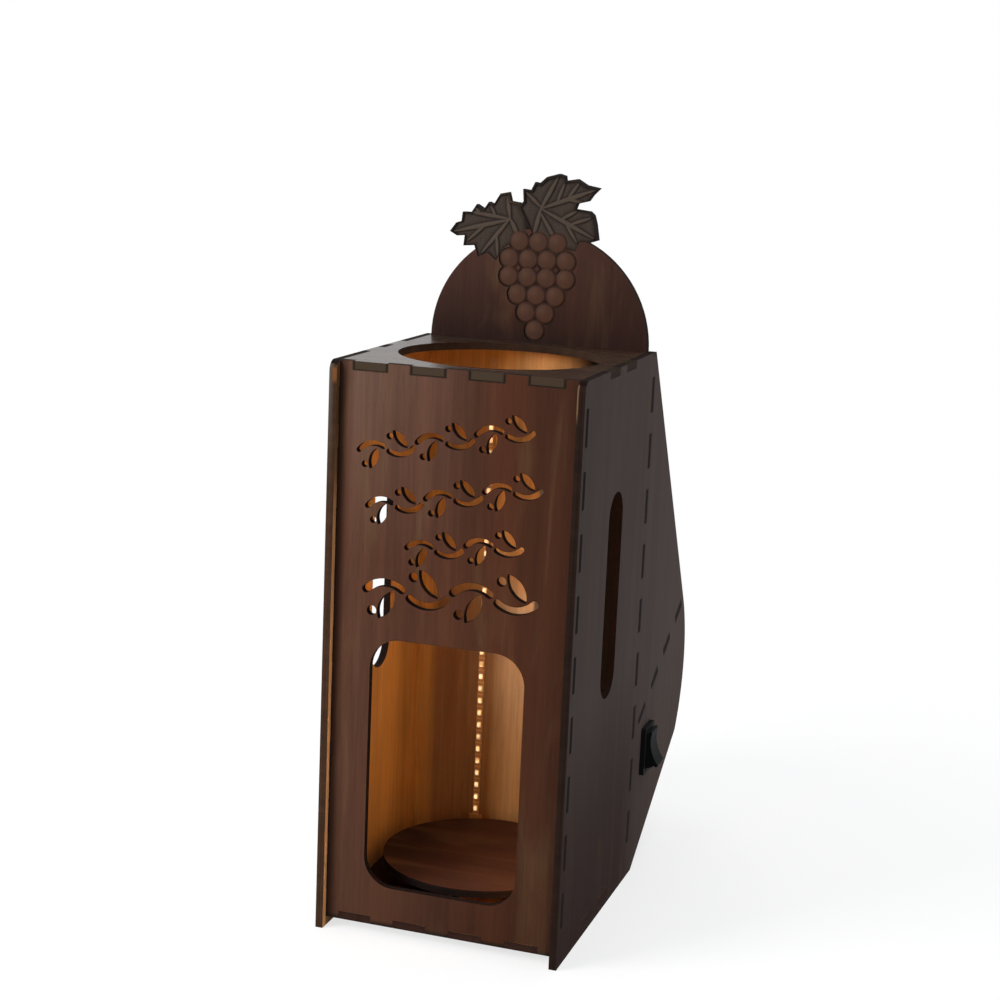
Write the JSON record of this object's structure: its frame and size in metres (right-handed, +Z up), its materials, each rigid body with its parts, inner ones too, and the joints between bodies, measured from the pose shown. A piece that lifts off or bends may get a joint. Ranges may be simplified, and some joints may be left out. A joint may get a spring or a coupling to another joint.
{
  "type": "lit bottle holder",
  "caption": "Tab-and-slot plywood box that holds an upright bottle, with a window, cut vine rows, a lit inside, side wings with a rocker switch and a round back with a vine ornament.",
  "frame": {"origin": "middle of the part's bounding box in X and Y, on the table plane", "axes": "+Z up, +Y from the window front to the wings at the back, +X towards the wing with the rocker switch"},
  "size_m": [0.1066, 0.1904, 0.294],
  "materials": {
    "front_wood": "stained plywood, satin",
    "side_wood": "stained plywood, satin",
    "inner_wood": "stained plywood, matte",
    "black_plastic": "moulded, satin",
    "gloss_plastic": "polished",
    "tinned_metal": "tin plated",
    "cell_sleeve": "printed sleeve, semi-gloss",
    "strip_film": "flexible circuit with white film",
    "led_case": "white case with amber lens",
    "red_insulation": "smooth",
    "black_insulation": "smooth"
  },
  "bodies": {
    "holder": {"side_panel_left": "side_wood", "side_panel_right": "side_wood", "front_panel": "front_wood", "back_panel": "front_wood", "top_panel": "front_wood", "bottom_panel": "inner_wood", "rest_disc": "front_wood", "rest_rib_long": "inner_wood", "rest_rib_cross": "inner_wood", "rear_shelf": "side_wood", "switch_housing": "black_plastic", "switch_terminals": "tinned_metal", "battery_tray": "black_plastic", "battery_cell_1": "cell_sleeve", "battery_cell_2": "cell_sleeve", "battery_cell_3": "cell_sleeve", "contact_springs": "tinned_metal", "contact_plates": "tinned_metal", "rear_led_strip": "strip_film", "rear_leds": "led_case", "front_led_strip": "strip_film", "front_leds": "led_case", "battery_lead": "red_insulation", "switch_lead": "red_insulation", "return_lead": "black_insulation", "link_lead_red": "red_insulation", "link_lead_black": "black_insulation"},
    "rocker": {"switch_rocker": "gloss_plastic"}
  },
  "joints": [
    {"name": "rocker_pivot", "type": "hinge", "parent": "holder", "child": "rocker", "pos_m": [0.04607, 0.02738, 0.0513], "axis": [0, 1, 0], "range_deg": [0, 26]}
  ]
}
